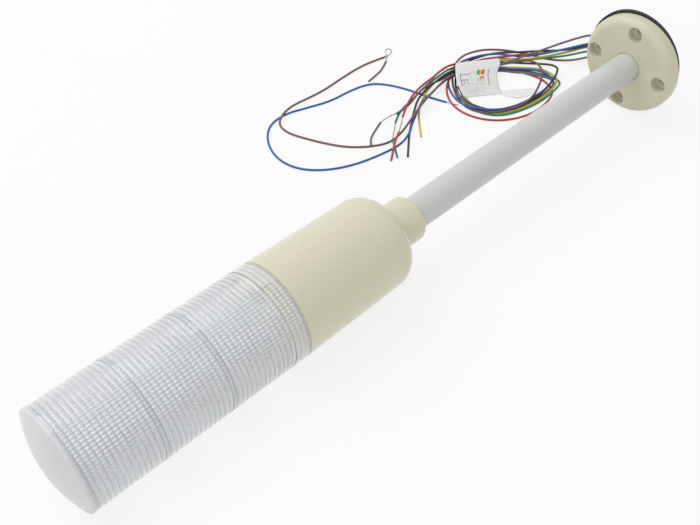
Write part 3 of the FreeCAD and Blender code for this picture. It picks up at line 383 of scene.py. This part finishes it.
def makeStrands(name):
    run = splinePoints(aboveFloor(strandRoutes[name]), strands["steps"])
    frames = carriedFrames(run)
    work = bmesh.new()
    for number in range(strands["count"]):
        travelled = 0
        filament = []
        for k, (point, (side, up)) in enumerate(zip(run, frames)):
            if k:
                travelled += (point - run[k - 1]).length
            turn = 2 * math.pi * (number / (strands["count"] - 1) + travelled / strands["twist"])
            out = strands["lay"] if number else 0
            filament.append(point + (side * math.cos(turn) + up * math.sin(turn)) * out)
        tubeRows(work, filament, strands["radius"], strands["sides"])
    made = finishMesh(f"{name}Strands", work)
    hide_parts("bare_strands")
    return made


def makeSlug(name):
    work = bmesh.new()
    run = splinePoints(aboveFloor(slugRoutes[name]), slug["steps"])
    tubeRows(work, run, slug["radius"], slug["sides"], slug["ends"])
    made = finishMesh(f"{name}Slug", work)
    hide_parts(f"slug_{name}")
    return made


strandPieces = {name: makeStrands(name) for name in strandRoutes}
slugPieces = {name: makeSlug(name) for name in slugRoutes}
print("lead ends bared")


label = {
    "place": (-0.0448, 0.1023), "turn": -33, "thickness": 0.00016, "rows": 36, "columns": 28,
    "curl": 0.8, "printLift": 0.00012,
    # from the far edge to the near one: distance back, the left and right edges, their heights
    "drape": [
        (-0.0012, -0.0150, 0.0172, 0.0066, 0.0066), (-0.0045, -0.0168, 0.0168, 0.0074, 0.0074),
        (-0.0086, -0.0180, 0.0163, 0.0075, 0.0072), (-0.0135, -0.0190, 0.0135, 0.0071, 0.0059),
        (-0.0180, -0.0199, 0.0114, 0.0062, 0.0042), (-0.0240, -0.0202, 0.0104, 0.0049, 0.0025),
        (-0.0300, -0.0197, 0.0100, 0.0034, 0.0012), (-0.0365, -0.0182, 0.0098, 0.0015, 0.0006)],
}
labelPlace = (Matrix.Translation((*label["place"], floorLevel))
              @ Matrix.Rotation(math.radians(label["turn"]), 4, "Z"))


def smoothAlong(points, share):
    # A smooth curve through the points, at a share of the way along them.
    spans = len(points) - 1
    first = min(int(share * spans), spans - 1)
    t = share * spans - first
    around = [Vector(points[max(min(first + k, spans), 0)]) for k in (-1, 0, 1, 2)]
    before, start, end, after = around
    return 0.5 * (2 * start + (end - before) * t + (2 * before - 5 * start + 4 * end - after) * t * t
                  + (3 * start - before - 3 * end + after) * t ** 3)


def labelPoint(across, down, lift):
    # across: 0 at the left edge to 1 at the right. down: 0 at the far edge to 1 at the near one.
    back, left, right, leftHeight, rightHeight = smoothAlong(label["drape"], down)
    side = left + (right - left) * across
    height = leftHeight + (rightHeight - leftHeight) * across ** label["curl"]
    return labelPlace @ Vector((side, back, height + lift))


def layPatch(work, patch, lift, columns, rows):
    # Faces over part of the label. patch: left, top, right and bottom as shares of it.
    left, top, right, bottom = patch
    grid = []
    for row in range(rows + 1):
        down = top + (bottom - top) * row / rows
        grid.append([work.verts.new(labelPoint(left + (right - left) * k / columns, down, lift))
                     for k in range(columns + 1)])
    gridFaces(work, grid, wrapAcross=False)


def thicken(piece, thickness):
    solid = piece.modifiers.new("paper", "SOLIDIFY")
    solid.thickness = thickness
    solid.offset = 0


def makeLabel():
    work = bmesh.new()
    layPatch(work, (0, 0, 1, 1), 0, label["columns"], label["rows"])
    made = finishMesh("labelPaper", work)
    thicken(made, label["thickness"])
    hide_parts("wire_label")
    return made


# Printed marks: (left, top, right, bottom) as shares of the label, in one ink each.
labelPrint = {
    "black": [(0.10, 0.50, 0.115, 0.76), (0.10, 0.50, 0.36, 0.512), (0.105, 0.64, 0.27, 0.65),
              (0.17, 0.64, 0.18, 0.74), (0.26, 0.63, 0.27, 0.74), (0.77, 0.40, 0.783, 0.78),
              (0.52, 0.615, 0.53, 0.69), (0.59, 0.60, 0.60, 0.69), (0.66, 0.60, 0.67, 0.69)],
    "grey": [(0.36, 0.46, 0.50, 0.466), (0.12, 0.73, 0.70, 0.735), (0.14, 0.76, 0.148, 0.93),
             (0.20, 0.77, 0.208, 0.95), (0.27, 0.77, 0.278, 0.90), (0.36, 0.76, 0.368, 0.92),
             (0.45, 0.75, 0.458, 0.88), (0.55, 0.74, 0.558, 0.90), (0.63, 0.74, 0.638, 0.86),
             (0.20, 0.90, 0.60, 0.905), (0.27, 0.86, 0.50, 0.865)],
    "green": [(0.50, 0.41, 0.565, 0.54)],
    "yellow": [(0.565, 0.41, 0.61, 0.54), (0.56, 0.58, 0.61, 0.66)],
    "red": [(0.61, 0.41, 0.68, 0.54), (0.61, 0.58, 0.67, 0.62)],
}


def makePrint(ink):
    work = bmesh.new()
    for patch in labelPrint[ink]:
        left, top, right, bottom = patch
        columns = max(1, round((right - left) * label["columns"]))
        rows = max(1, round((bottom - top) * label["rows"]))
        layPatch(work, patch, label["printLift"], columns, rows)
    made = finishMesh(f"{ink}Print", work)
    return made


film = {"start": 0.0095, "length": 0.0250, "far": -0.0318, "farFall": -0.0022, "near": -0.0362,
        "belly": 0.0072, "bellyRound": 0.8, "thickness": 0.0001, "ripple": 0.0005,
        "ripples": 2.3, "rippleSlant": 2.2, "rippleStart": 0.35, "columns": 40, "rows": 12}


def makeFilm():
    # The clear laminate that reaches past the paper along the floor, slightly rippled.
    work = bmesh.new()
    grid = []
    for row in range(film["rows"] + 1):
        width = row / film["rows"]
        line = []
        for k in range(film["columns"] + 1):
            out = k / film["columns"]
            wave = math.sin(2 * math.pi * film["ripples"] * out + film["rippleSlant"] * width)
            lift = film["ripple"] * (1 + wave) * (film["rippleStart"] + out) / 2
            far = film["far"] + film["farFall"] * out
            near = film["near"] - film["belly"] * math.sin(math.pi * out) ** film["bellyRound"]
            place = Vector((film["start"] + film["length"] * out, near + (far - near) * width,
                            film["thickness"] + lift))
            line.append(work.verts.new(labelPlace @ place))
        grid.append(line)
    gridFaces(work, grid, wrapAcross=False)
    made = finishMesh("labelFilm", work)
    thicken(made, film["thickness"])
    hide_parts("label_film")
    return made


labelPaper = makeLabel()
inkPieces = {ink: makePrint(ink) for ink in labelPrint}
labelFilm = makeFilm()
print("label draped")


tiers = {
    "names": ("lower", "middle", "upper"), "base": 0.3361, "length": 0.0414, "radius": 0.030,
    "ribDepth": 0.0007, "ribPitch": 0.003, "ribs": 13, "ribSteps": 8, "ribRound": 1.7,
    "wall": 0.0276,
    "jointOuter": 0.02835, "jointBore": 0.0284, "lip": 0.002, "rebate": 0.00205,
    "bevel": 0.00035, "segments": 540, "flutes": 90, "fluteDepth": 0.0005, "runOut": 0.0006,
    "skirtFoot": 0.3274, "skirtBore": 0.0283, "relief": 0.3387,
}
lugs = {"count": 3, "start": -29.2, "angle": 8, "foot": 0.331, "height": 0.003, "depth": 0.0013,
        "sunk": 0.0001, "steps": 8}
# the plain stretch left at each end of a tier's ribs
plainBand = (tiers["length"] - tiers["ribPitch"] * tiers["ribs"]) / 2


def fluteWave(k):
    # Rounded flutes cut into the bore.
    phase = k * tiers["flutes"] / tiers["segments"]
    return tiers["fluteDepth"] * (0.5 - 0.5 * math.cos(2 * math.pi * phase))


def ribProfile(base):
    # Rounded ribs up the outside, with sharp valleys and a plain band at each end.
    steps = [(tiers["radius"], base + plainBand)]
    for rib in range(tiers["ribs"]):
        start = base + plainBand + tiers["ribPitch"] * rib
        for k in range(tiers["ribSteps"] + 1):
            share = 2 * k / tiers["ribSteps"] - 1
            steps.append((tiers["radius"] - tiers["ribDepth"] * abs(share) ** tiers["ribRound"],
                          start + tiers["ribPitch"] * k / tiers["ribSteps"]))
    steps.append((tiers["radius"], base + tiers["length"] - plainBand))
    return steps


def tierProfile(number):
    # The lowest tier has a skirt over the housing, the others a lip in the tier below.
    base = tiers["base"] + tiers["length"] * number
    top = base + tiers["length"]
    radius, bevel, wall = tiers["radius"], tiers["bevel"], tiers["wall"]
    if number == 0:
        foot = tiers["skirtFoot"]
        start = [(tiers["skirtBore"], foot), (radius - bevel, foot), (radius, foot + bevel)]
        low = tiers["relief"]
        end = [(tiers["skirtBore"], low)]
    else:
        foot = base - tiers["lip"]
        start = [(wall, foot), (tiers["jointOuter"], foot), (tiers["jointOuter"], base),
                 (radius - bevel, base), (radius, base + bevel)]
        low = base
        end = [(wall, base)]
    outside = start + ribProfile(base) + [
        (radius, top - bevel), (radius - bevel, top), (tiers["jointBore"], top),
        (tiers["jointBore"], top - tiers["rebate"]), (wall, top - tiers["rebate"])]
    # flutes run out over a short slope at both ends
    slope = tiers["runOut"]
    high = top - tiers["rebate"]
    inside = [(wall, high - slope / 4, 0), (wall, high - slope, 1), (wall, (low + high) / 2, 1),
              (wall, low + slope, 1), (wall, low + slope / 4, 0)]
    return [(r, h, 0) for r, h in outside] + inside + [(r, h, 0) for r, h in end]


def addLugs(piece):
    # The bayonet lugs inside the lowest tier's skirt.
    work = bmesh.new()
    work.from_mesh(piece.data)
    outer = tiers["skirtBore"] + lugs["sunk"]
    inner = tiers["skirtBore"] - lugs["depth"]
    for number in range(lugs["count"]):
        rows = []
        for k in range(lugs["steps"] + 1):
            turn = math.radians(lugs["start"] + lugs["angle"] * k / lugs["steps"]
                                + 360 * number / lugs["count"])
            section = ((inner, 0), (outer, 0), (outer, lugs["height"]), (inner, lugs["height"]))
            rows.append([work.verts.new(turnedPoint(reach, turn, lugs["foot"] + height))
                         for reach, height in section])
        gridFaces(work, rows)
        capEnds(work, rows)
    fillMesh(piece.data, work)


def makeTier(number):
    name = tiers["names"][number]
    made = turnedPiece(f"{name}Lens", tierProfile(number), tiers["segments"], "lens_stack",
                       fluteWave)
    if number == 0:
        addLugs(made)
    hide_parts(f"lens_{name}")
    return made


lensTiers = [makeTier(number) for number in range(len(tiers["names"]))]
print("lens tiers turned")


def linearShade(text):
    # A hex colour as linear values, by the usual screen curve.
    parts = [int(text[k:k + 2], 16) / 255 for k in (0, 2, 4)]
    return (*(p / 12.92 if p <= 0.04045 else ((p + 0.055) / 1.055) ** 2.4 for p in parts), 1)


def feed(tree, socket, value):
    # Links a socket to another's output, or gives it a plain value.
    if isinstance(value, bpy.types.NodeSocket):
        tree.links.new(value, socket)
    else:
        socket.default_value = value


def mathStep(tree, operation, *values):
    node = tree.nodes.new("ShaderNodeMath")
    node.operation = operation
    for socket, value in zip(node.inputs, values):
        feed(tree, socket, value)
    return node.outputs[0]


def mixColours(tree, share, first, second):
    mix = tree.nodes.new("ShaderNodeMix")
    mix.data_type = "RGBA"
    for socket, value in (("Factor", share), ("A", first), ("B", second)):
        feed(tree, mix.inputs[socket], value)
    return [socket for socket in mix.outputs if socket.type == "RGBA"][0]


def mixShaders(tree, share, first, second, target):
    mix = tree.nodes.new("ShaderNodeMixShader")
    for socket, value in zip(mix.inputs, (share, first, second)):
        tree.links.new(value, socket)
    tree.links.new(mix.outputs[0], target.inputs["Surface"])


def newGroup(name, inputs, outputs):
    group = bpy.data.node_groups.new(name, "ShaderNodeTree")
    for title, kind, value in inputs:
        socket = group.interface.new_socket(title, in_out="INPUT", socket_type=kind)
        socket.default_value = value
    for title, kind in outputs:
        group.interface.new_socket(title, in_out="OUTPUT", socket_type=kind)
    return group, group.nodes.new("NodeGroupInput"), group.nodes.new("NodeGroupOutput")


surface = {"driftDetail": 3, "grainDetail": 4, "bumpDepth": 0.0004}


def makeSurfaceGroup():
    # Moulded, drawn or printed surfaces: a slow drift between two shades, and a fine grain.
    number, colour = "NodeSocketFloat", "NodeSocketColor"
    group, given, result = newGroup("surfaceGrain", [
        ("Shade", colour, (0.8, 0.8, 0.8, 1)), ("Second Shade", colour, (0.7, 0.7, 0.7, 1)),
        ("Drift Scale", number, 20.0), ("Grain Scale", number, 900.0),
        ("Smoothness", number, 0.3), ("Spread", number, 0.08),
        ("Stretch", "NodeSocketVector", (1, 1, 1)),
    ], [("Colour", colour), ("Roughness", number), ("Height", number)])
    link = group.links.new
    place = group.nodes.new("ShaderNodeTexCoord")
    stretch = group.nodes.new("ShaderNodeVectorMath")
    stretch.operation = "MULTIPLY"
    link(place.outputs["Object"], stretch.inputs[0])
    link(given.outputs["Stretch"], stretch.inputs[1])
    drift = group.nodes.new("ShaderNodeTexNoise")
    drift.inputs["Detail"].default_value = surface["driftDetail"]
    grain = group.nodes.new("ShaderNodeTexNoise")
    grain.inputs["Detail"].default_value = surface["grainDetail"]
    for texture, scale in ((drift, "Drift Scale"), (grain, "Grain Scale")):
        link(stretch.outputs[0], texture.inputs["Vector"])
        link(given.outputs[scale], texture.inputs["Scale"])
    link(mixColours(group, drift.outputs["Fac"], given.outputs["Shade"],
                    given.outputs["Second Shade"]), result.inputs["Colour"])
    link(mathStep(group, "MULTIPLY_ADD", grain.outputs["Fac"], given.outputs["Spread"],
                  given.outputs["Smoothness"]), result.inputs["Roughness"])
    link(grain.outputs["Fac"], result.inputs["Height"])
    return group


surfaceGrain = makeSurfaceGroup()


usualLook = {"drift": 25, "grain": 1500, "spread": 0.06, "stretch": (1, 1, 1), "bump": 0.04,
             "plain": {}}


def finish(name, look):
    # A Principled material fed by the shared grain. look holds what a user would change.
    look = {**usualLook, **look}
    made = bpy.data.materials.new(name)
    made.use_nodes = True
    tree = made.node_tree
    shader = tree.nodes["Principled BSDF"]
    grain = tree.nodes.new("ShaderNodeGroup")
    grain.node_tree = surfaceGrain
    grain.inputs["Shade"].default_value = linearShade(look["shade"])
    grain.inputs["Second Shade"].default_value = linearShade(look["second"])
    for socket, value in (("Drift Scale", "drift"), ("Grain Scale", "grain"),
                          ("Smoothness", "roughness"), ("Spread", "spread"),
                          ("Stretch", "stretch")):
        grain.inputs[socket].default_value = look[value]
    bump = tree.nodes.new("ShaderNodeBump")
    bump.inputs["Strength"].default_value = look["bump"]
    bump.inputs["Distance"].default_value = surface["bumpDepth"]
    link = tree.links.new
    link(grain.outputs["Colour"], shader.inputs["Base Color"])
    link(grain.outputs["Roughness"], shader.inputs["Roughness"])
    link(grain.outputs["Height"], bump.inputs["Height"])
    link(bump.outputs["Normal"], shader.inputs["Normal"])
    for socket, value in look["plain"].items():
        shader.inputs[socket].default_value = value
    return made


finishes = {
    "clear_lens": {"shade": "ffffff", "second": "fafbfd", "roughness": 0.12, "spread": 0.03,
                   "bump": 0.01, "plain": {"Transmission Weight": 0.72, "IOR": 1.49,
                                           "Coat Weight": 0.6, "Coat Roughness": 0.04}},
    "frosted_cap": {"shade": "fdfdff", "second": "f8f8fb", "roughness": 0.3, "bump": 0.03,
                    "plain": {"Transmission Weight": 0.35, "IOR": 1.49}},
    "cream_housing": {"shade": "dedabf", "second": "d9d5b8", "drift": 18, "roughness": 0.24,
                      "bump": 0.02, "plain": {"Coat Weight": 0.5, "Coat Roughness": 0.08}},
    "cream_flange": {"shade": "d8d5bb", "second": "d2cfb4", "drift": 30, "roughness": 0.36,
                     "bump": 0.05, "plain": {"Coat Weight": 0.1, "Coat Roughness": 0.3}},
    "grey_pole": {"shade": "d4d6d4", "second": "cccfcc", "drift": 40, "roughness": 0.34,
                  "stretch": (0.15, 1, 1), "bump": 0.03, "plain": {"Coat Weight": 0.15}},
    "black_rubber": {"shade": "1c1b1a", "second": "252422", "roughness": 0.6, "bump": 0.15},
    "clear_seal": {"shade": "eef1f1", "second": "e4e8e8", "roughness": 0.2,
                   "plain": {"Transmission Weight": 0.7, "IOR": 1.41}},
    "steel": {"shade": "b4b5b6", "second": "a4a5a8", "roughness": 0.28, "spread": 0.15,
              "plain": {"Metallic": 1.0}},
    "white_board": {"shade": "ecedec", "second": "e2e4e3", "roughness": 0.45},
    "green_board": {"shade": "1e6b3c", "second": "185a32", "roughness": 0.4},
    "led_epoxy": {"shade": "f4f5f2", "second": "e9eae4", "roughness": 0.08,
                  "plain": {"Transmission Weight": 0.8, "IOR": 1.54}},
    "white_reflector": {"shade": "eef0f1", "second": "e6e9ea", "roughness": 0.25, "bump": 0.02},
    "green_terminal": {"shade": "3aa06a", "second": "318f5d", "roughness": 0.45},
    "black_component": {"shade": "262626", "second": "303030", "roughness": 0.4},
    "insulation_grey": {"shade": "6f6c6c", "second": "646161", "roughness": 0.34},
    "insulation_blue": {"shade": "2f62b0", "second": "27559f", "roughness": 0.34},
    "insulation_red": {"shade": "c03a38", "second": "ad302f", "roughness": 0.34},
    "insulation_black": {"shade": "1f1c20", "second": "272428", "roughness": 0.34},
    "insulation_yellow": {"shade": "d9c64a", "second": "cdb93e", "roughness": 0.34},
    "insulation_green": {"shade": "2a8f78", "second": "23806b", "roughness": 0.34},
    "insulation_brown": {"shade": "7a5a52", "second": "6c4d46", "roughness": 0.34},
    "tinned_copper": {"shade": "c4c0b8", "second": "a39d92", "drift": 400, "roughness": 0.3,
                      "plain": {"Metallic": 1.0}},
    "label_paper": {"shade": "e9e9e7", "second": "e2e2e0", "drift": 60, "roughness": 0.3,
                    "plain": {"Coat Weight": 0.4, "Coat Roughness": 0.15}},
    "label_laminate": {"shade": "fbfcfc", "second": "e6e8ea", "drift": 300, "grain": 500,
                       "stretch": (1, 3, 1), "roughness": 0.15, "spread": 0.1, "bump": 0.05,
                       "plain": {"Transmission Weight": 0.8, "IOR": 1.25}},
}
inks = {
    "black": {"shade": "232323", "second": "2e2e2e", "roughness": 0.35},
    "grey": {"shade": "a9abad", "second": "b8babb", "roughness": 0.35},
    "green": {"shade": "3f9a3c", "second": "4aa545", "roughness": 0.35},
    "yellow": {"shade": "f0c23c", "second": "eaba34", "roughness": 0.35},
    "red": {"shade": "e0603a", "second": "d85634", "roughness": 0.35},
}
materials = {name: finish(name, look) for name, look in finishes.items()}


def passLight(material):
    # Clear plastic casts no shadow on what it covers.
    tree = material.node_tree
    path = tree.nodes.new("ShaderNodeLightPath")
    clear = tree.nodes.new("ShaderNodeBsdfTransparent")
    unseen = mathStep(tree, "MAXIMUM", path.outputs["Is Shadow Ray"], path.outputs["Is Diffuse Ray"])
    mixShaders(tree, unseen, tree.nodes["Principled BSDF"].outputs[0], clear.outputs[0],
               tree.nodes["Material Output"])


# Painted shade for the lens's grooves: its grey, how strongly it is blended in, and how sharply it
# gathers towards the deepest part.
paintedGrooveShade = {"shade": "b4b9be", "share": 0.7, "sharpness": 1.1}


def paintGrooveShade(material):
    # Painted shade: the valleys between the ribs, and the flutes behind them, are painted darker than
    # the crests, a grey blended into the lens's colour in place of the shade the grooves would catch.
    tree = material.node_tree
    link = tree.links.new

    def step(operation, *values):
        return mathStep(tree, operation, *values)

    place = tree.nodes.new("ShaderNodeTexCoord")
    upright = tree.nodes.new("ShaderNodeMapping")
    upright.inputs["Rotation"].default_value = (0, math.radians(90 + lean), 0)
    link(place.outputs["Object"], upright.inputs["Vector"])
    axes = tree.nodes.new("ShaderNodeSeparateXYZ")
    link(upright.outputs[0], axes.inputs[0])
    around = step("ARCTAN2", axes.outputs["Y"], axes.outputs["X"])
    flute = step("MULTIPLY", step("COSINE", step("MULTIPLY", around, tiers["flutes"])), -1.0)
    along = step("MODULO", step("SUBTRACT", axes.outputs["Z"], tiers["base"]), tiers["length"])
    turns = step("MULTIPLY", step("SUBTRACT", along, plainBand), 2 * math.pi / tiers["ribPitch"])
    deepest = step("MAXIMUM", step("MAXIMUM", step("COSINE", turns), flute), 0.0)
    # painted shade, darkest where the ribs' valleys and the flutes are deepest
    paintedValleyShade = step("MULTIPLY", step("POWER", deepest, paintedGrooveShade["sharpness"]), paintedGrooveShade["share"])
    base = tree.nodes["Principled BSDF"].inputs["Base Color"]
    link(mixColours(tree, paintedValleyShade, base.links[0].from_socket, linearShade(paintedGrooveShade["shade"])), base)


# the lens tiers get painted shade in their grooves
paintGrooveShade(materials["clear_lens"])
for name in ("clear_lens", "clear_seal", "label_laminate", "led_epoxy"):
    passLight(materials[name])
inkMaterials = {name: finish(f"{name}Ink", look) for name, look in inks.items()}


def dress(piece, material):
    piece.data.materials.clear()
    piece.data.materials.append(material)


slotOf = {part["node"]: part["material_slot"] for part in frame["record"]["subparts"]}
for nodeName, node in nodes.items():
    dress(node, materials[slotOf[nodeName]])
for tier in lensTiers:
    dress(tier, materials["clear_lens"])
for leadName, (piece, *_) in leads.items():
    dress(piece, materials[f"insulation_{leadName}"])
for name, piece in slugPieces.items():
    dress(piece, materials[f"insulation_{name}"])
for piece in strandPieces.values():
    dress(piece, materials["tinned_copper"])
dress(labelPaper, materials["label_paper"])
dress(labelFilm, materials["label_laminate"])
for ink, piece in inkPieces.items():
    dress(piece, inkMaterials[ink])
print("materials given")


floor = {"size": 6.0, "cells": 8, "shown": 0.8,
         "paper": {"shade": "f4f4f4", "second": "f0f0f0", "roughness": 0.9, "bump": 0.0}}
studio = {
    "ambient": 0.55,
    "lamps": {
        "key": {"place": (-0.5, 1.1, 1.5), "size": 1.6, "energy": 17},
        "fill": {"place": (-1.4, -0.9, 1.1), "size": 1.6, "energy": 5},
    },
    "aim": (-0.22, 0.03, 0),
}


def seenRays(tree):
    # 1 for what the camera sees directly, in gloss or through glass.
    path = tree.nodes.new("ShaderNodeLightPath")
    direct = mathStep(tree, "MAXIMUM", path.outputs["Is Camera Ray"], path.outputs["Is Glossy Ray"])
    return mathStep(tree, "MAXIMUM", direct, path.outputs["Is Transmission Ray"])


def makeFloor():
    work = bmesh.new()
    half, size, cells = floor["size"] / 2, floor["size"], floor["cells"]
    grid = [[work.verts.new((-half + size * k / cells, -half + size * row / cells, floorLevel))
             for k in range(cells + 1)] for row in range(cells + 1)]
    gridFaces(work, grid, wrapAcross=False)
    made = finishMesh("studioFloor", work, body=None)
    material = finish("floorPaper", floor["paper"])
    tree = material.node_tree
    glow = tree.nodes.new("ShaderNodeEmission")
    mixShaders(tree, mathStep(tree, "MULTIPLY", seenRays(tree), floor["shown"]),
               tree.nodes["Principled BSDF"].outputs[0], glow.outputs[0],
               tree.nodes["Material Output"])
    dress(made, material)


def makeWorld():
    world = bpy.data.worlds.new("studioWorld")
    scene.world = world
    world.use_nodes = True
    tree = world.node_tree
    ambient = tree.nodes["Background"]
    ambient.inputs["Strength"].default_value = studio["ambient"]
    ambient.inputs["Color"].default_value = (1, 1, 1, 1)
    shown = tree.nodes.new("ShaderNodeBackground")
    shown.inputs["Color"].default_value = (1, 1, 1, 1)
    mixShaders(tree, seenRays(tree), ambient.outputs[0], shown.outputs[0],
               tree.nodes["World Output"])


def makeLamp(name, values):
    data = bpy.data.lights.new(name, "AREA")
    data.shape = "SQUARE"
    data.size = values["size"]
    data.energy = values["energy"]
    made = bpy.data.objects.new(name, data)
    made.location = values["place"]
    aim = Vector(studio["aim"]) - Vector(values["place"])
    made.rotation_euler = aim.to_track_quat("-Z", "Y").to_euler()
    scene.collection.objects.link(made)


makeFloor()
makeWorld()
for name, values in studio["lamps"].items():
    makeLamp(name, values)
scene.view_settings.view_transform = "Standard"
print("floor and light set")
